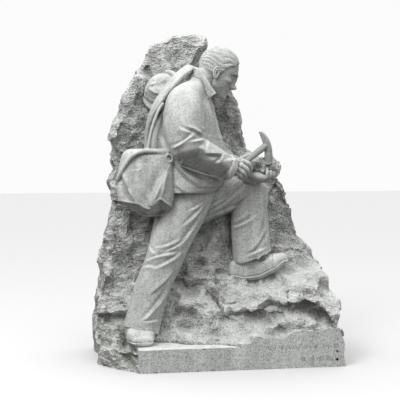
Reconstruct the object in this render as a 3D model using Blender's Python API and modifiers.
"""A granite memorial carved from one block.

A field geologist in work clothes stands with one foot on a ledge and the other on a boulder, against a
rough-pitched slab, with a hammer in one hand and a rock sample in the other. It is all one stone, so it is one solid.
Metres, +Z up. The origin is on the ground, in the middle of the block. The sawn front faces -Y.
"""

import math

import bmesh
import bpy
import numpy as np
from mathutils import Matrix, Vector

# Driving sizes of the block.
CARVING_HEIGHT = 2.42  # from the ledge to the top of the rock
LEDGE_HEIGHT = 0.175  # the sawn band that the standing foot is on
TOE_MARGIN = 0.124  # from the standing toe to the sawn front
SLAB_BACK = 0.46  # from the figure's middle to the back of the rock
FIGURE_TURN = math.radians(-9.0)  # the figure looks a little out of the block's own plane

# Sizes of the figure and of what it carries, at the height that its places are written for.
HEAD_HEIGHT = 0.385
HAT_BRIM_RADIUS = 0.180
HAT_CROWN_RADIUS = 0.132
BRIM_THICKNESS = 0.046
STRAP_WIDTH = 0.092
STRAP_THICKNESS = 0.038
COLLAR_WIDTH = 0.072
COLLAR_THICKNESS = 0.034
BAG_DEPTH = 0.22
BAG_FLAP_THICKNESS = 0.016
HANDLE_DIAMETER = 0.040
HAMMER_THICKNESS = 0.050
FINGER_DIAMETER = 0.034
SOLE_THICKNESS = 0.034
SOLE_WELT = 0.009
BURIED = 0.05  # how deep a form runs into its neighbour

# The carving is written for this height, and keeps its proportions at any other.
DESIGN_HEIGHT = 2.42
SHARE = CARVING_HEIGHT / DESIGN_HEIGHT
CORNER_ROUGHNESS = 0.75  # of the rock's own, where the base's corner is knocked off

# How finely the forms are joined, and how many triangles each joined form keeps.
ROCK_GRAIN = 0.020
FIGURE_GRAIN = 0.011
FINE_GRAIN = 0.0055
ROCK_TRIANGLES = 2440
FIGURE_TRIANGLES = 3350
GRANITE_GREY = (0.47, 0.49, 0.47, 1.0)


def clear_scene():
    for obj in list(bpy.data.objects):
        bpy.data.objects.remove(obj)


def new_collection(name):
    found = bpy.data.collections.new(name)
    bpy.context.scene.collection.children.link(found)
    return found


def object_from(bm, name, collection, triangles=None, grain=None):
    """The bmesh as an object. Grain fuses its shells into one skin, and triangles says how many that keeps."""
    bmesh.ops.triangulate(bm, faces=bm.faces)
    bmesh.ops.recalc_face_normals(bm, faces=bm.faces)
    mesh = bpy.data.meshes.new(name)
    bm.to_mesh(mesh)
    bm.free()
    obj = bpy.data.objects.new(name, mesh)
    collection.objects.link(obj)
    if grain:
        fused = obj.modifiers.new("fused", "REMESH")
        fused.mode = "VOXEL"
        fused.voxel_size = grain * SHARE
    if triangles:
        bpy.context.view_layer.update()
        graph = bpy.context.evaluated_depsgraph_get()
        polygons = obj.evaluated_get(graph).data.polygons
        count = sum(len(polygon.vertices) - 2 for polygon in polygons)
        if triangles < count:
            thin = obj.modifiers.new("thin", "DECIMATE")
            thin.ratio = triangles / count
    return obj


def together(bms):
    """Several bmeshes as one."""
    joined = bmesh.new()
    for bm in bms:
        mesh = bpy.data.meshes.new("joined")
        bm.to_mesh(mesh)
        bm.free()
        joined.from_mesh(mesh)
        bpy.data.meshes.remove(mesh)
    return joined


def as_arrays(bm):
    """Places and outward normals of a bmesh's vertices."""
    bm.normal_update()
    places = np.array([v.co for v in bm.verts], float)
    normals = np.array([v.normal for v in bm.verts], float)
    return places, normals


def move_to(bm, places):
    for vert, place in zip(bm.verts, places):
        vert.co = place


def through(stations, steps):
    """Rows of numbers on a smooth curve through the stations, with steps between each two."""
    rows = np.array(stations, float)
    ends = np.vstack([2 * rows[0] - rows[1], rows, 2 * rows[-1] - rows[-2]])
    found = []
    for i in range(1, len(rows)):
        before, a, b, after = ends[i - 1 : i + 3]
        for t in np.arange(steps) / steps:
            found.append(
                0.5
                * (
                    2 * a
                    + (b - before) * t
                    + (2 * before - 5 * a + 4 * b - after) * t**2
                    + (3 * a - before - 3 * b + after) * t**3
                )
            )
    found.append(rows[-1])
    return np.array(found)


def with_round_ends(rows, dome, rings=3):
    """The rows with a dome added at each end, as long as dome times the end's smaller half thickness."""
    def cap(end, inner):
        away = end[:3] - inner[:3]
        away /= np.linalg.norm(away)
        made = []
        for k in range(1, rings + 1):
            turn = math.radians(85) * k / rings
            row = end.copy()
            row[:3] += away * dome * min(end[3], end[4]) * math.sin(turn)
            row[3:5] *= math.cos(turn)
            made.append(row)
        return made

    return np.array(cap(rows[0], rows[1])[::-1] + list(rows) + cap(rows[-1], rows[-2]))


def loft(stations, sides=24, steps=4, squareness=2.0, dome=0.6, deep=(0.0, 1.0, 0.0), level=False):
    """A closed tube through stations of (x, y, z, half thickness across, half thickness along deep)."""
    rows = through(stations, steps)
    if dome:
        rows = with_round_ends(rows, dome)
    rows = rows * SHARE
    bm = bmesh.new()
    rings = []
    centres = rows[:, :3]
    for i, row in enumerate(rows):
        along = Vector(centres[min(i + 1, len(rows) - 1)] - centres[max(i - 1, 0)]).normalized()
        if level:
            along = Vector((0.0, 0.0, math.copysign(1.0, along.z)))
        deep_way = Vector(deep)
        deep_way = (deep_way - along * deep_way.dot(along)).normalized()
        across_way = deep_way.cross(along)
        ring = []
        for k in range(sides):
            angle = math.tau * k / sides
            c, s = math.cos(angle), math.sin(angle)
            across = math.copysign(abs(c) ** (2 / squareness), c) * row[3]
            depth = math.copysign(abs(s) ** (2 / squareness), s) * row[4]
            ring.append(bm.verts.new(Vector(row[:3]) + across_way * across + deep_way * depth))
        rings.append(ring)
    for ring, following in zip(rings, rings[1:]):
        for k in range(sides):
            j = (k + 1) % sides
            bm.faces.new((ring[k], ring[j], following[j], following[k]))
    bm.faces.new(rings[0][::-1])
    bm.faces.new(rings[-1])
    bmesh.ops.recalc_face_normals(bm, faces=bm.faces)
    return bm


def ellipsoid(centre, radii, turn=(0.0, 0.0, 0.0), subdivisions=3):
    bm = bmesh.new()
    bmesh.ops.create_icosphere(bm, subdivisions=subdivisions, radius=1.0)
    place = Matrix.Translation(Vector(centre) * SHARE)
    for angle, axis in zip(turn[::-1], "ZYX"):
        place = place @ Matrix.Rotation(angle, 4, axis)
    place = place @ Matrix.Diagonal((*[r * SHARE for r in radii], 1.0))
    bmesh.ops.transform(bm, matrix=place, verts=bm.verts)
    return bm


def near_curve(points, start, middle, end, pieces=10):
    """Distance of each (x, z) point from a bowed line, how far along it is, and on which side."""
    t = np.linspace(0, 1, pieces + 1)[:, None]
    start, middle, end = (np.array(p) * SHARE for p in (start, middle, end))
    curve = (1 - t) ** 2 * start + 2 * t * (1 - t) * middle + t**2 * end
    best = np.full(len(points), 1e9)
    along = np.zeros(len(points))
    side = np.zeros(len(points))
    for i in range(pieces):
        run = curve[i + 1] - curve[i]
        share = np.clip((points - curve[i]) @ run / (run @ run), 0, 1)
        away = points - curve[i] - share[:, None] * run
        distance = np.linalg.norm(away, axis=1)
        nearer = distance < best
        best[nearer] = distance[nearer]
        along[nearer] = (i + share[nearer]) / pieces
        side[nearer] = np.sign(run[0] * away[nearer, 1] - run[1] * away[nearer, 0])
    return best, along, side


def fold(places, normals, start, middle, end, width, height):
    """How far a carved fold lifts each place: a crest along the line with a groove on one side."""
    distance, along, side = near_curve(places[:, [0, 2]], start, middle, end)
    w = width * SHARE
    across = distance * side / w
    crest = np.exp(-np.sqrt(across**2 + 0.05) + 0.22) - 0.75 * np.exp(-((across - 1.7) ** 2) / 0.8)
    fade = np.sin(np.pi * np.clip(along, 0.02, 0.98)) ** 0.6
    faces_viewer = np.clip(0.25 - normals[:, 1], 0, 1)
    near = np.exp(-((across / 4) ** 4))
    return height * SHARE * crest * fade * faces_viewer * near


def carve(bm, folds):
    """Raises the listed folds on the side that faces -Y."""
    places, normals = as_arrays(bm)
    lift = np.zeros(len(places))
    for one in folds:
        lift += fold(places, normals, *one)
    move_to(bm, places + normals * lift[:, None])
    return bm


def fan(origin, first, last, count, length, width, height, bow=0.12):
    """Folds that run out of one point of strain, between two angles, in degrees in the (x, z) plane."""
    made = []
    for k in range(count):
        angle = math.radians(first + (last - first) * k / max(count - 1, 1))
        reach = length * (0.8 + 0.2 * math.cos(2.4 * k))
        way = (math.cos(angle), math.sin(angle))
        end = (origin[0] + way[0] * reach, origin[1] + way[1] * reach)
        start = (origin[0] + way[0] * 0.04, origin[1] + way[1] * 0.04)
        middle = (
            (start[0] + end[0]) / 2 - way[1] * reach * bow,
            (start[1] + end[1]) / 2 + way[0] * reach * bow,
        )
        made.append((start, middle, end, width, height))
    return made


def cell_numbers(cells, seed):
    """Four repeatable random numbers for each cell of a grid."""
    table = np.random.default_rng(seed).random((4096, 4))
    mixed = (cells[:, 0] * 73856093) ^ (cells[:, 1] * 19349663) ^ (cells[:, 2] * 83492791)
    return table[mixed % 4096]


def scallops(places, size, depth, seed):
    """Pitched stone: shallow bowls where flakes came off, which meet in sharp ridges."""
    base = np.floor(places / size).astype(np.int64)
    nearest = np.full(len(places), 1e9)
    height = np.zeros(len(places))
    for shift in np.ndindex(3, 3, 3):
        cells = base + np.array(shift) - 1
        numbers = cell_numbers(cells, seed)
        centre = (cells + numbers[:, :3]) * size
        distance = np.linalg.norm(places - centre, axis=1)
        nearer = distance < nearest
        nearest[nearer] = distance[nearer]
        height[nearer] = numbers[nearer, 3]
    return depth * ((nearest / size) ** 2 * 1.1 + 0.5 * height - 0.55)


# The rock's outline seen from the front, left and right side, as (height above the ledge, x).
ROCK_LEFT = (
    (-0.18, -0.83), (0.19, -0.80), (0.42, -0.81), (0.67, -0.75), (0.87, -0.72), (1.08, -0.68), (1.25, -0.70),
    (1.33, -0.655), (1.60, -0.70), (1.74, -0.63), (1.97, -0.58), (2.13, -0.45), (2.33, -0.38), (2.42, -0.16),
)
ROCK_RIGHT = (
    (-0.18, 1.06), (0.0, 1.03), (0.15, 0.98), (0.30, 1.03), (0.44, 1.02), (0.58, 0.92), (0.76, 0.84),
    (1.04, 0.78),
    (1.20, 0.73), (1.41, 0.53), (1.50, 0.43), (1.62, 0.385), (1.81, 0.365), (1.96, 0.29), (2.27, 0.07),
    (2.37, 0.04), (2.42, -0.04),
)
# How far forward (-) or back (+) the rock's face stands at each height, at these places across the block.
FACE_PLACES = (-0.82, -0.55, -0.20, 0.10, 0.28, 0.36, 0.70, 1.05)
ROCK_FACE = (
    (-0.18, (-0.22, -0.30, -0.36, -0.50, -0.62, -0.64, -0.64, -0.64)),
    (0.02, (-0.14, -0.20, -0.34, -0.47, -0.58, -0.64, -0.64, -0.64)),
    (0.065, (-0.13, -0.17, -0.29, -0.41, -0.48, -0.60, -0.64, -0.62)),
    (0.095, (-0.13, -0.14, -0.25, -0.37, -0.43, -0.49, -0.52, -0.52)),
    (0.20, (-0.13, -0.09, -0.18, -0.32, -0.38, -0.40, -0.42, -0.44)),
    (0.27, (-0.13, -0.06, -0.18, -0.27, -0.38, -0.42, -0.46, -0.48)),
    (0.33, (-0.12, -0.03, -0.12, -0.18, -0.27, -0.31, -0.40, -0.44)),
    (0.42, (-0.10, 0.0, -0.05, -0.09, -0.11, -0.13, -0.24, -0.32)),
    (0.56, (-0.08, 0.03, 0.0, -0.02, 0.0, 0.0, -0.05, -0.15)),
    (0.66, (-0.07, 0.05, 0.03, 0.02, 0.05, 0.05, 0.02, -0.04)),
    (0.85, (-0.04, 0.07, 0.06, 0.06, 0.08, 0.08, 0.06, 0.03)),
    (1.20, (0.0, 0.06, 0.08, 0.11, 0.13, 0.13, 0.10, 0.08)),
    (1.60, (0.0, 0.05, 0.08, 0.12, 0.14, 0.14, 0.14, 0.12)),
    (2.00, (0.04, 0.05, 0.08, 0.10, 0.14, 0.14, 0.16, 0.16)),
    (2.42, (0.12, 0.10, 0.10, 0.10, 0.12, 0.14, 0.16, 0.16)),
)


# How much higher or lower the shelf under the raised foot breaks off, at places across the block.
SHELF_EDGE = (
    (-0.30, 0.0), (0.02, 0.03), (0.12, -0.07), (0.30, 0.0), (0.50, 0.0), (0.68, 0.07), (0.80, 0.06),
    (0.95, -0.06),
)


def rock_face(xs, z):
    """How far forward the face stands at each x of one level."""
    heights = [row[0] for row in ROCK_FACE]
    in_shelf = np.clip((z - 0.10) / 0.08, 0, 1) * np.clip((0.60 - z) / 0.20, 0, 1)
    levels = z - in_shelf * np.interp(xs, *np.array(SHELF_EDGE).T)
    table = np.array([row[1] for row in ROCK_FACE])
    by_place = np.array([np.interp(levels, heights, column) for column in table.T])
    return np.array([np.interp(x, FACE_PLACES, by_place[:, k]) for k, x in enumerate(xs)])


def rock_section(z, front_points, side_points):
    """One level slice of the rock, as points round it from above."""
    left = np.interp(z, *np.array(ROCK_LEFT).T)
    right = np.interp(z, *np.array(ROCK_RIGHT).T)
    back = SLAB_BACK / SHARE - 0.10 * (z / DESIGN_HEIGHT)
    xs = np.linspace(left, right, front_points)
    ys = rock_face(xs, z)
    front = [(x, y) for x, y in zip(xs, ys)]
    side = np.linspace(0, 1, side_points + 2)[1:-1]
    right_side = [(right, ys[-1] + (back - ys[-1]) * s) for s in side]
    left_side = [(left, back + (ys[0] - back) * s) for s in side]
    rear = [(x, back) for x in xs[::-1]]
    return front + right_side + rear + left_side


def rock_mass(levels, front_points, side_points):
    """The slab, with its outline and its sloping face, before it's roughened."""
    bm = bmesh.new()
    bottom, top = ROCK_LEFT[0][0] - 0.06, ROCK_LEFT[-1][0]
    rings = []
    for z in np.linspace(bottom, top, levels):
        section = rock_section(z, front_points, side_points)
        rings.append([bm.verts.new(Vector((x, y, z)) * SHARE) for x, y in section])
    for ring, following in zip(rings, rings[1:]):
        for k in range(len(ring)):
            j = (k + 1) % len(ring)
            bm.faces.new((ring[k], ring[j], following[j], following[k]))
    bm.faces.new(rings[0][::-1])
    bm.faces.new(rings[-1])
    bmesh.ops.recalc_face_normals(bm, faces=bm.faces)
    return bm


def broken_corner():
    """The rough left end of the base, where the sawn band's corner is knocked off."""
    bm = bmesh.new()
    bmesh.ops.create_cube(bm, size=1.0)
    size = Vector((0.38, 0.70, 0.23)) * SHARE
    centre = Vector((-0.63, -0.20, -0.14)) * SHARE
    bmesh.ops.transform(bm, matrix=Matrix.Translation(centre) @ Matrix.Diagonal((*size, 1.0)), verts=bm.verts)
    bmesh.ops.subdivide_edges(bm, edges=bm.edges, cuts=9, use_grid_fill=True)
    places, _ = as_arrays(bm)
    slant = front_plane() - 0.02 + 1.15 * np.maximum(-0.52 * SHARE - places[:, 0], 0.0)
    places[:, 1] = np.maximum(places[:, 1], slant)
    move_to(bm, places)
    return bm


def roughen(bm, share=1.0):
    """Breaks the surface into flakes, large and middling."""
    places, normals = as_arrays(bm)
    lift = scallops(places, 0.34 * SHARE, 0.075 * SHARE, 3) + scallops(places, 0.13 * SHARE, 0.028 * SHARE, 8)
    lift *= share
    move_to(bm, places + normals * lift[:, None])
    return bm


def front_plane():
    """Where the sawn front stands, in the block's own frame."""
    toe = turned(STANDING_TOE)
    return -(abs(toe.y) * SHARE + TOE_MARGIN)


def turned(place):
    """A place given as the figure is seen from its side, in the block's own frame."""
    return Matrix.Rotation(FIGURE_TURN, 3, "Z") @ Vector(place)


# The standing foot, seen from the figure's side.
STANDING_HEEL = (-0.545, -0.13, 0.0)
STANDING_TOE = (-0.430, -0.51, 0.0)
# The raised foot, whose sole bends up at the toe.
RAISED_HEEL = (0.262, 0.0, 0.438)
RAISED_TOE = (0.680, -0.02, 0.438)
RAISED_SOLE = (0.012, 0.0, 0.018, 0.080, 0.140)


def near_trouser_leg():
    bm = loft(
        (
            (-0.09, -0.08, 1.20, 0.22, 0.20), (-0.15, -0.14, 1.00, 0.190, 0.19),
            (-0.22, -0.20, 0.82, 0.166, 0.165),
            (-0.285, -0.25, 0.63, 0.145, 0.15), (-0.372, -0.285, 0.42, 0.134, 0.142),
            (-0.42, -0.31, 0.25, 0.137, 0.140), (-0.458, -0.335, 0.10, 0.142, 0.15),
        ),
        sides=64, steps=9, dome=0.1,
    )
    folds = fan((0.11, 1.10), 196, 244, 6, 0.46, 0.022, 0.024)
    folds += fan((-0.16, 0.66), 150, 222, 5, 0.26, 0.020, 0.020, bow=-0.2)
    folds += [
        ((-0.46, 0.60), (-0.33, 0.66), (-0.17, 0.78), 0.020, 0.022),
        ((-0.50, 0.50), (-0.36, 0.56), (-0.20, 0.70), 0.020, 0.022),
        ((-0.30, 0.10), (-0.26, 0.25), (-0.22, 0.46), 0.030, 0.018),
        ((-0.56, 0.42), (-0.60, 0.20), (-0.53, 0.12), 0.030, 0.016),
        ((-0.42, 0.14), (-0.28, 0.26), (-0.20, 0.56), 0.024, 0.018),
    ]
    return carve(bm, folds)


def far_thigh():
    bm = loft(
        (
            (-0.12, 0.05, 1.04, 0.20, 0.19), (0.08, 0.05, 1.10, 0.168, 0.175),
            (0.26, 0.04, 1.145, 0.148, 0.16),
            (0.39, 0.04, 1.165, 0.138, 0.15), (0.45, 0.04, 1.155, 0.12, 0.14),
        ),
        sides=56, steps=8, dome=0.45,
    )
    folds = [
        ((0.06, 1.00), (0.20, 1.04), (0.46, 1.20), 0.018, 0.022),
        ((0.08, 1.06), (0.22, 1.12), (0.44, 1.25), 0.018, 0.022),
        ((0.14, 1.13), (0.26, 1.20), (0.40, 1.30), 0.016, 0.018),
        ((0.20, 1.22), (0.26, 1.27), (0.34, 1.31), 0.014, 0.014),
    ]
    return carve(bm, folds)


def far_shin():
    bm = loft(
        (
            (0.435, 0.04, 1.19, 0.115, 0.13), (0.42, 0.03, 1.10, 0.135, 0.145),
            (0.402, 0.02, 1.0, 0.143, 0.148),
            (0.402, 0.01, 0.86, 0.150, 0.148), (0.415, 0.0, 0.73, 0.152, 0.146),
            (0.425, -0.005, 0.62, 0.156, 0.15),
        ),
        sides=56, steps=8, dome=0.5,
    )
    places, _ = as_arrays(bm)
    hem = 0.655 * SHARE + (places[:, 0] - 0.50 * SHARE) * 0.42
    places[:, 2] = np.maximum(places[:, 2], hem)
    move_to(bm, places)
    folds = fan((0.47, 1.17), 238, 268, 4, 0.44, 0.020, 0.016, bow=-0.1)
    folds += [
        ((0.26, 0.88), (0.36, 0.90), (0.46, 1.00), 0.022, 0.022),
        ((0.52, 0.72), (0.50, 0.90), (0.53, 1.10), 0.024, 0.014),
        ((0.34, 0.62), (0.48, 0.74), (0.50, 0.94), 0.024, 0.014),
    ]
    return carve(bm, folds)


def jacket():
    bm = loft(
        (
            (-0.12, -0.03, 1.165, 0.250, 0.345), (-0.105, -0.03, 1.23, 0.292, 0.350),
            (-0.10, -0.03, 1.32, 0.300, 0.340), (-0.10, -0.03, 1.46, 0.298, 0.335),
            (-0.105, -0.03, 1.62, 0.262, 0.33),
            (-0.092, -0.03, 1.80, 0.210, 0.33), (-0.070, -0.02, 1.92, 0.152, 0.27),
            (-0.030, -0.02, 2.01, 0.106, 0.18),
            (0.0, -0.01, 2.07, 0.09, 0.12),
        ),
        sides=72, steps=7, dome=0.05, level=True,
    )
    folds = fan((0.15, 1.24), 160, 210, 5, 0.34, 0.020, 0.020)
    folds += [
        ((-0.34, 1.62), (-0.26, 1.52), (-0.22, 1.40), 0.022, 0.020),
        ((0.06, 1.88), (0.16, 1.74), (0.18, 1.50), 0.022, 0.016),
        ((0.02, 1.80), (0.06, 1.66), (0.05, 1.52), 0.022, 0.016),
        ((-0.30, 1.80), (-0.31, 1.66), (-0.36, 1.50), 0.020, 0.016),
    ]
    return carve(bm, folds)


def near_upper_sleeve():
    bm = loft(
        (
            (-0.07, -0.20, 1.94, 0.098, 0.11), (-0.118, -0.32, 1.85, 0.142, 0.14),
            (-0.125, -0.40, 1.72, 0.148, 0.148),
            (-0.11, -0.44, 1.58, 0.145, 0.145), (-0.09, -0.455, 1.49, 0.13, 0.135),
        ),
        sides=56, steps=8, dome=0.5,
    )
    folds = [
        ((-0.20, 1.50), (-0.06, 1.54), (0.02, 1.64), 0.026, 0.030),
        ((-0.16, 1.60), (-0.10, 1.68), (0.02, 1.66), 0.024, 0.022),
        ((-0.24, 1.84), (-0.23, 1.68), (-0.22, 1.52), 0.022, 0.016),
        ((0.0, 1.88), (0.01, 1.76), (-0.02, 1.66), 0.022, 0.016),
    ]
    return carve(bm, folds)


def near_forearm():
    bm = loft(
        (
            (-0.12, -0.45, 1.49, 0.12, 0.125), (-0.02, -0.435, 1.46, 0.130, 0.125),
            (0.08, -0.395, 1.415, 0.120, 0.115),
            (0.17, -0.345, 1.375, 0.105, 0.105), (0.228, -0.312, 1.345, 0.097, 0.097),
        ),
        sides=56, steps=8, dome=0.05,
    )
    folds = [
        ((0.0, 1.57), (0.06, 1.50), (0.10, 1.42), 0.020, 0.024),
        ((0.05, 1.56), (0.12, 1.48), (0.20, 1.44), 0.020, 0.022),
        ((0.12, 1.50), (0.16, 1.42), (0.20, 1.36), 0.018, 0.018),
        ((-0.16, 1.42), (0.02, 1.38), (0.18, 1.30), 0.024, 0.016),
    ]
    return carve(bm, folds)


def far_arm():
    return loft(
        (
            (-0.06, 0.20, 1.94, 0.13, 0.12), (0.02, 0.26, 1.76, 0.13, 0.12), (0.10, 0.26, 1.56, 0.12, 0.11),
            (0.17, 0.20, 1.42, 0.11, 0.11), (0.30, 0.06, 1.33, 0.085, 0.085), (0.40, -0.03, 1.30, 0.06, 0.06),
        ),
        sides=24, steps=4, dome=0.3,
    )


def shoe(heel, toe, rise=(0.0, 0.0, 0.0, 0.0, 0.0)):
    """A shoe with its sole from heel to toe. rise lifts the sole at five places, as on a slope."""
    heel, toe = np.array(heel, float), np.array(toe, float)
    along = toe - heel
    length = np.linalg.norm(along[:2])
    widths = (0.070, 0.086, 0.092, 0.106, 0.080)
    heights = (0.165, 0.185, 0.180, 0.140, 0.085)
    stations = []
    for k, share in enumerate((0.06, 0.25, 0.52, 0.80, 0.97)):
        place = heel + along * share
        stations.append((*place[:2], place[2] + rise[k] + heights[k] / 2, heights[k] / 2, widths[k]))
    sideways = (-along[1] / length, along[0] / length, 0.0)
    bm = loft(stations, sides=28, steps=4, squareness=2.6, dome=0.8, deep=sideways)
    places, normals = as_arrays(bm)
    shares = (places[:, :2] / SHARE - heel[:2]) @ along[:2] / length**2
    ground = (heel[2] + along[2] * shares + np.interp(shares, (0.06, 0.25, 0.52, 0.80, 0.97), rise)) * SHARE
    above = places[:, 2] - ground
    low = above < SOLE_THICKNESS * SHARE
    level = normals * [1, 1, 0]
    places += level * np.where(low, SOLE_WELT * SHARE, 0.0)[:, None]
    places[:, 2] = np.maximum(places[:, 2], ground - 0.004)
    move_to(bm, places)
    return bm


def bag():
    half = BAG_DEPTH / 2
    bm = loft(
        (
            (-0.367, -0.29, 0.985, 0.075, half * 0.72), (-0.385, -0.295, 1.045, 0.155, half * 0.95),
            (-0.413, -0.30, 1.11, 0.208, half * 1.05), (-0.420, -0.30, 1.18, 0.221, half * 1.05),
            (-0.413, -0.295, 1.28, 0.214, half), (-0.405, -0.29, 1.40, 0.197, half * 0.92),
            (-0.402, -0.285, 1.46, 0.180, half * 0.80), (-0.395, -0.28, 1.485, 0.155, half * 0.65),
        ),
        sides=64, steps=6, squareness=4.2, dome=0.08, level=True,
    )
    folds = fan((-0.22, 1.36), 205, 250, 4, 0.40, 0.030, 0.018)
    folds += [
        ((-0.60, 1.26), (-0.54, 1.14), (-0.44, 1.02), 0.028, 0.018),
        ((-0.60, 1.16), (-0.58, 1.10), (-0.50, 1.04), 0.020, 0.014),
    ]
    carve(bm, folds)
    places, normals = as_arrays(bm)
    under_flap = places[:, 2] > np.interp(places[:, 0], *(np.array(FLAP_EDGE).T[[0, 2]] * SHARE))
    places += normals * np.where(under_flap, BAG_FLAP_THICKNESS * SHARE, 0.0)[:, None]
    move_to(bm, places)
    return bm


# The front edge of the bag's flap, from the figure's back round to its side.
FLAP_EDGE = (
    (-0.640, -0.330, 1.235), (-0.622, -0.375, 1.290), (-0.580, -0.395, 1.370), (-0.522, -0.400, 1.445),
    (-0.443, -0.385, 1.482), (-0.345, -0.370, 1.483), (-0.245, -0.345, 1.468),
)


def flap_lip():
    """The rolled edge of the flap."""
    half = BAG_FLAP_THICKNESS
    return loft([(*place, half, half) for place in FLAP_EDGE], sides=10, steps=3, dome=0.8)


def strap():
    """The bag's strap, which crosses the shoulders and stands clear of the back."""
    across, deep = STRAP_THICKNESS / 2, STRAP_WIDTH / 2
    return loft(
        (
            (0.03, 0.12, 2.10, across, deep), (-0.060, -0.03, 2.145, across, deep),
            (-0.12, -0.10, 2.115, across, deep), (-0.190, -0.15, 2.05, across, deep),
            (-0.275, -0.19, 1.94, across, deep * 0.95), (-0.345, -0.21, 1.83, across, deep * 0.85),
            (-0.395, -0.22, 1.72, across, deep * 0.75), (-0.420, -0.23, 1.61, across, deep * 0.65),
            (-0.425, -0.25, 1.47, across, deep * 0.6),
        ),
        sides=14, steps=3, squareness=3.0, dome=0.3, deep=(-0.50, 0.75, 0.42),
    )


def strap_tail():
    """The strap's near run, down the back to the bag."""
    across, deep = STRAP_THICKNESS / 3, STRAP_WIDTH / 3
    return loft(
        (
            (-0.29, -0.24, 1.85, across, deep), (-0.325, -0.27, 1.79, across, deep),
            (-0.370, -0.29, 1.66, across, deep),
            (-0.405, -0.30, 1.50, across, deep),
        ),
        sides=10, steps=3, squareness=3.0, dome=0.3,
    )


def collar():
    across, deep = COLLAR_WIDTH / 2, COLLAR_THICKNESS / 2
    return loft(
        (
            (-0.03, 0.10, 2.09, across, deep), (-0.070, 0.0, 2.115, across, deep),
            (-0.035, -0.09, 2.115, across, deep),
            (0.005, -0.135, 2.070, across, deep), (0.045, -0.168, 2.0, across, deep),
            (0.095, -0.175, 1.918, across * 1.1, deep),
        ),
        sides=12, steps=4, squareness=4.0, dome=0.2, deep=(0.15, 1.0, 0.30),
    )


def hat_brim():
    """The sun hat that hangs on the back: its brim, edge on to the viewer."""
    bm = bmesh.new()
    half = BRIM_THICKNESS / 2
    profile = [(0.0, 0.0, -half), (HAT_BRIM_RADIUS - half, 0.0, -half)]
    for angle in np.radians((-60, -30, 0, 30, 60)):
        profile.append((HAT_BRIM_RADIUS - half * (1 - math.cos(angle)), 0.0, half * math.sin(angle)))
    profile += [(HAT_BRIM_RADIUS - half, 0.0, half), (0.0, 0.0, half)]
    verts = [bm.verts.new(p) for p in profile]
    edges = [bm.edges.new(pair) for pair in zip(verts, verts[1:])]
    bmesh.ops.spin(
        bm, geom=verts + edges, cent=(0, 0, 0), axis=(0, 0, 1), angle=math.tau, steps=32, use_merge=True,
    )
    bmesh.ops.remove_doubles(bm, verts=bm.verts, dist=1e-5)
    bmesh.ops.recalc_face_normals(bm, faces=bm.faces)
    bmesh.ops.transform(bm, matrix=hat_place(), verts=bm.verts)
    return bm


def hat_place():
    """Where the hat hangs, with its own +Z out of the crown."""
    crown_way = Vector((-0.45, -0.80, 0.36)).normalized()
    turn = crown_way.to_track_quat("Z", "Y").to_matrix().to_4x4()
    return Matrix.Translation(Vector((-0.305, -0.040, 1.972)) * SHARE) @ turn @ Matrix.Scale(SHARE, 4)


def hat_crown():
    bm = bmesh.new()
    bmesh.ops.create_icosphere(bm, subdivisions=3, radius=1.0)
    radii = (HAT_CROWN_RADIUS, HAT_CROWN_RADIUS, HAT_CROWN_RADIUS * 0.9)
    bmesh.ops.transform(bm, matrix=hat_place() @ Matrix.Diagonal((*radii, 1.0)), verts=bm.verts)
    return bm


# The head's own frame: x out of the face, z to the crown, one unit is the head's height.
# Each form is a centre, how far it spreads, and how far it pushes the surface. A pair is mirrored.
FACE_FORMS = (
    ((0.20, 0.0, -0.44), (0.20, 0.13, 0.10), (0.13, 0.0, -0.02)),
    ((0.34, 0.0, -0.32), (0.16, 0.16, 0.13), (0.035, 0.0, 0.0)),
    ((0.37, 0.0, -0.02), (0.20, 0.045, 0.09), (0.045, 0.0, 0.0)),
    ((0.39, 0.0, -0.165), (0.20, 0.050, 0.060), (0.115, 0.0, 0.0)),
    ((0.38, 0.0, 0.09), (0.12, 0.20, 0.045), (0.020, 0.0, 0.0)),
    ((0.38, 0.0, -0.292), (0.12, 0.075, 0.020), (0.022, 0.0, 0.0)),
    ((0.38, 0.0, -0.347), (0.12, 0.065, 0.022), (0.020, 0.0, 0.0)),
    ((0.38, 0.0, -0.320), (0.12, 0.085, 0.009), (-0.020, 0.0, 0.0)),
    ((0.36, 0.0, -0.392), (0.12, 0.070, 0.022), (-0.018, 0.0, 0.0)),
)
FACE_PAIRS = (
    ((0.34, 0.13, 0.005), (0.14, 0.070, 0.048), (-0.055, 0.0, 0.0)),
    ((0.33, 0.125, 0.000), (0.12, 0.046, 0.026), (0.030, 0.0, 0.0)),
    ((0.36, 0.055, -0.190), (0.12, 0.030, 0.032), (0.030, 0.016, 0.0)),
    ((0.26, 0.19, -0.10), (0.12, 0.070, 0.060), (0.020, 0.026, 0.0)),
    ((0.02, 0.21, -0.28), (0.13, 0.090, 0.120), (0.0, 0.035, -0.030)),
)
# The hairline seen from the side, as (x, height), and how far the hair stands out.
HAIRLINE = (
    (-0.45, -0.32), (-0.14, -0.25), (-0.05, 0.03), (0.05, -0.08), (0.13, 0.05), (0.22, 0.18), (0.32, 0.30),
    (0.42, 0.33),
)
HAIR_STANDS = 0.026


def ray_to_ellipsoid(ways, centre, radii):
    """How far from the head's middle each way leaves the ellipsoid."""
    d = ways / radii
    c = np.array(centre) / radii
    a = (d * d).sum(1)
    b = d @ c
    return (b + np.sqrt(b * b - a * (c @ c - 1))) / a


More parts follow.
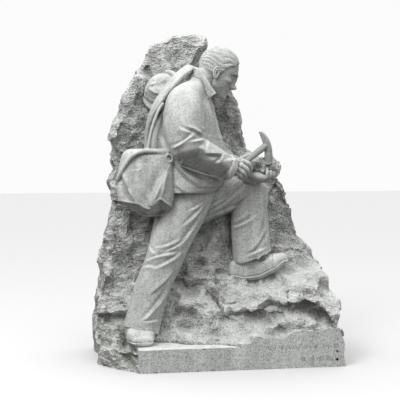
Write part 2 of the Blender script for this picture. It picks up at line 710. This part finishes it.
def head(subdivisions=4):
    bm = bmesh.new()
    bmesh.ops.create_icosphere(bm, subdivisions=subdivisions, radius=1.0)
    ways, _ = as_arrays(bm)
    ways /= np.linalg.norm(ways, axis=1)[:, None]
    skull = ray_to_ellipsoid(ways, (-0.04, 0.0, 0.10), np.array((0.405, 0.315, 0.375)))
    face = ray_to_ellipsoid(ways, (0.10, 0.0, -0.10), np.array((0.275, 0.235, 0.385)))
    reach = (skull**9 + face**9) ** (1 / 9)
    places = ways * reach[:, None]
    forms = list(FACE_FORMS)
    for centre, spread, push in FACE_PAIRS:
        for side in (-1, 1):
            mirror = np.array((1, side, 1))
            forms.append((mirror * centre, spread, mirror * push))
    moved = np.zeros_like(places)
    for centre, spread, push in forms:
        weight = np.exp(-(((places - centre) / spread) ** 2).sum(1))
        moved += weight[:, None] * np.array(push)
    places += moved
    above = places[:, 2] - np.interp(places[:, 0], *np.array(HAIRLINE).T)
    places += ways * (HAIR_STANDS * np.clip(above / 0.03, 0, 1))[:, None]
    move_to(bm, places)
    bmesh.ops.transform(bm, matrix=head_place(), verts=bm.verts)
    return bm


def head_place():
    """Where the head is, bowed over the stone in the hand."""
    bowed = Matrix.Rotation(math.radians(27), 4, "Y")
    place = Matrix.Translation(Vector((0.150, -0.02, 2.125)) * SHARE)
    return place @ bowed @ Matrix.Scale(HEAD_HEIGHT * SHARE, 4)


def ear(side):
    bm = bmesh.new()
    bmesh.ops.create_icosphere(bm, subdivisions=2, radius=1.0)
    place = Matrix.Translation((-0.02, side * 0.315, -0.07)) @ Matrix.Rotation(math.radians(-12), 4, "Y")
    place = place @ Matrix.Rotation(side * math.radians(-18), 4, "Z")
    place = head_place() @ place @ Matrix.Diagonal((0.085, 0.040, 0.135, 1.0))
    bmesh.ops.transform(bm, matrix=place, verts=bm.verts)
    return bm


def neck():
    return loft(
        ((-0.04, -0.02, 1.93, 0.13, 0.14), (0.02, -0.02, 2.03, 0.105, 0.115),
        (0.09, -0.02, 2.12, 0.10, 0.105)),
        sides=24, steps=3, dome=0.3,
    )


def nape():
    """The roll of cloth under the collar, behind the neck."""
    return ellipsoid((-0.035, 0.005, 2.080), (0.062, 0.100, 0.052))


# The hammer lies in one plane beside the figure.
HANDLE_LOW = (0.262, -0.270, 1.328)
HANDLE_TOP = (0.520, -0.222, 1.534)


def hammer_handle():
    r = HANDLE_DIAMETER / 2
    return loft(((*HANDLE_LOW, r, r), (*HANDLE_TOP, r * 1.35, r * 1.35)), sides=12, steps=2, dome=0.5)


def hammer_head():
    t = HAMMER_THICKNESS / 2
    return loft(
        (
            (0.462, -0.222, 1.634, t * 0.25, t * 0.35), (0.480, -0.222, 1.623, t * 0.60, t * 0.55),
            (0.505, -0.222, 1.585, t * 0.85, t * 0.75), (0.525, -0.222, 1.535, t * 0.98, t * 0.9),
            (0.536, -0.216, 1.470, t * 1.05, t * 0.95), (0.539, -0.206, 1.385, t * 1.0, t * 0.9),
        ),
        sides=12, steps=3, squareness=4.0, dome=0.2, deep=(0.5, 0.87, 0.0),
    )


def held_stone():
    bm = ellipsoid((0.512, -0.115, 1.368), (0.130, 0.092, 0.074), turn=(0, math.radians(4), 0))
    places, normals = as_arrays(bm)
    lift = scallops(places, 0.06 * SHARE, 0.022 * SHARE, 5)
    move_to(bm, places + normals * lift[:, None])
    return bm


def finger(stations, size):
    """A finger through its joints, rounded at both ends."""
    rows = [(*place, size * share, size * share) for place, share in zip(stations, (1.0, 1.05, 1.0, 0.86))]
    return loft(rows, sides=10, steps=3, dome=0.9)


def gripping_hand():
    """The hand on the handle: its back towards the viewer, and four fingers that curl round and away."""
    bms = [
        ellipsoid((0.288, -0.292, 1.366), (0.080, 0.046, 0.060), turn=(0, math.radians(28), 0)),
        loft(((0.20, -0.31, 1.36, 0.060, 0.052), (0.26, -0.295, 1.355, 0.056, 0.046)), sides=16, steps=2),
    ]
    low, top = np.array(HANDLE_LOW), np.array(HANDLE_TOP)
    along = (top - low) / np.linalg.norm(top - low)
    down = np.array((along[2], 0.0, -along[0]))
    size = FINGER_DIAMETER / 2
    for k in range(4):
        root = low + along * (0.018 + 0.034 * k)
        reach = (0.92, 1.0, 1.04, 0.98)[k]
        stations = (
            root - down * 0.050 + (0, -0.030, 0), root - down * 0.005 + (0, -0.044, 0),
            root + down * 0.042 * reach + (0, -0.026, 0), root + down * 0.046 * reach + (0, 0.022, 0),
        )
        bms.append(finger(stations, size))
    thumb = ((0.268, -0.250, 1.392), (0.312, -0.240, 1.420), (0.352, -0.235, 1.442), (0.392, -0.234, 1.456))
    bms.append(finger(thumb, size * 1.05))
    return bms


def holding_hand():
    """The open hand under the stone, with its fingers up the stone's far end."""
    bms = [ellipsoid((0.475, -0.100, 1.277), (0.102, 0.088, 0.046), turn=(0, math.radians(-4), 0))]
    size = FINGER_DIAMETER / 2
    for k in range(4):
        y = -0.172 + 0.036 * k
        x = 0.555 + 0.026 * k
        tip = (x + 0.006, y + 0.004, 1.356)
        stations = ((x - 0.100, y, 1.264), (x - 0.032, y, 1.264), (x + 0.006, y, 1.302), tip)
        bms.append(finger(stations, size))
    thumb = ((0.420, -0.040, 1.290), (0.430, -0.018, 1.335), (0.455, -0.020, 1.380), (0.485, -0.040, 1.412))
    bms.append(finger(thumb, size * 1.1))
    return bms


def ledge_block():
    """The sawn block in front of the slab, whose top is the ledge. The front cut makes its face flush."""
    left, right = -0.55 * SHARE, 0.98 * SHARE
    front = front_plane() - BURIED
    size = Vector((right - left, -front, LEDGE_HEIGHT + BURIED))
    centre = Vector(((left + right) / 2, front / 2, -size.z / 2))
    bm = bmesh.new()
    bmesh.ops.create_cube(bm, size=1.0)
    bmesh.ops.transform(bm, matrix=Matrix.Translation(centre) @ Matrix.Diagonal((*size, 1.0)), verts=bm.verts)
    return bm


def cutter(name, low, high, collection):
    bm = bmesh.new()
    bmesh.ops.create_cube(bm, size=1.0)
    low, high = Vector(low), Vector(high)
    size = high - low
    place = Matrix.Translation((low + high) / 2) @ Matrix.Diagonal((*size, 1.0))
    bmesh.ops.transform(bm, matrix=place, verts=bm.verts)
    return object_from(bm, name, collection)


def granite():
    material = bpy.data.materials.new("granite")
    material.use_nodes = True
    shader = material.node_tree.nodes["Principled BSDF"]
    shader.inputs["Base Color"].default_value = GRANITE_GREY
    shader.inputs["Roughness"].default_value = 0.85
    shader.inputs["Metallic"].default_value = 0.0
    return material


def join_with(obj, name, operation, collection):
    """A live Boolean of the object with everything in a collection."""
    made = obj.modifiers.new(name, "BOOLEAN")
    made.operation = operation
    made.operand_type = "COLLECTION"
    made.collection = collection
    made.solver = "EXACT"
    made.use_self = operation == "UNION"
    return made


def hide_helper(obj):
    obj.hide_render = True
    obj.display_type = "WIRE"


def main():
    clear_scene()
    shown = new_collection("granite_memorial")
    forms = new_collection("carved_forms")
    cutters = new_collection("sawn_faces")

    rock = together([roughen(rock_mass(110, 60, 22)), roughen(broken_corner(), CORNER_ROUGHNESS)])
    statue = object_from(rock, "granite_memorial_statue", shown, ROCK_TRIANGLES, ROCK_GRAIN)
    body = [
        near_trouser_leg(), far_thigh(), far_shin(), jacket(), near_upper_sleeve(), near_forearm(), far_arm(),
        bag(), flap_lip(), strap_tail(), hat_crown(), neck(), nape(),
    ]
    carved = (
        ("clothed_figure", together(body), FIGURE_TRIANGLES, FIGURE_GRAIN),
        ("standing_shoe", shoe(STANDING_HEEL, STANDING_TOE), 240, None),
        ("raised_shoe", shoe(RAISED_HEEL, RAISED_TOE, RAISED_SOLE), 240, None),
        ("strap", strap(), 180, None),
        ("collar", collar(), 130, None),
        ("hat_brim", hat_brim(), 260, None),
        ("head", together([head(), ear(-1), ear(1)]), 950, FINE_GRAIN),
        ("hammer_handle", hammer_handle(), None, None),
        ("hammer_head", hammer_head(), 150, None),
        ("held_stone", held_stone(), 200, None),
        ("gripping_hand", together(gripping_hand()), 360, FINE_GRAIN),
        ("holding_hand", together(holding_hand()), 360, FINE_GRAIN),
    )
    turn = Matrix.Rotation(FIGURE_TURN, 4, "Z")
    for name, bm, triangles, grain in carved:
        bmesh.ops.transform(bm, matrix=turn, verts=bm.verts)
        hide_helper(object_from(bm, name, forms, triangles, grain))
    hide_helper(object_from(ledge_block(), "ledge_block", forms))

    far = 4.0 * SHARE
    front = front_plane()
    hide_helper(cutter("below_ground", (-far, -far, -far), (far, far, -LEDGE_HEIGHT), cutters))
    hide_helper(cutter("in_front_of_the_band", (-far, -far, -0.5 * far), (far, front, 0.6 * SHARE), cutters))
    join_with(statue, "one_block", "UNION", forms)
    join_with(statue, "sawn_faces", "DIFFERENCE", cutters)
    statue.data.materials.append(granite())

    bpy.context.view_layer.update()
    graph = bpy.context.evaluated_depsgraph_get()
    corners = np.array([corner[:] for corner in statue.evaluated_get(graph).bound_box])
    middle = (corners.min(0) + corners.max(0)) / 2
    frame = bpy.data.objects.new("block_frame", None)
    shown.objects.link(frame)
    for obj in [statue, *forms.objects, *cutters.objects]:
        obj.parent = frame
    frame.location = (-middle[0], -middle[1], LEDGE_HEIGHT)


main()
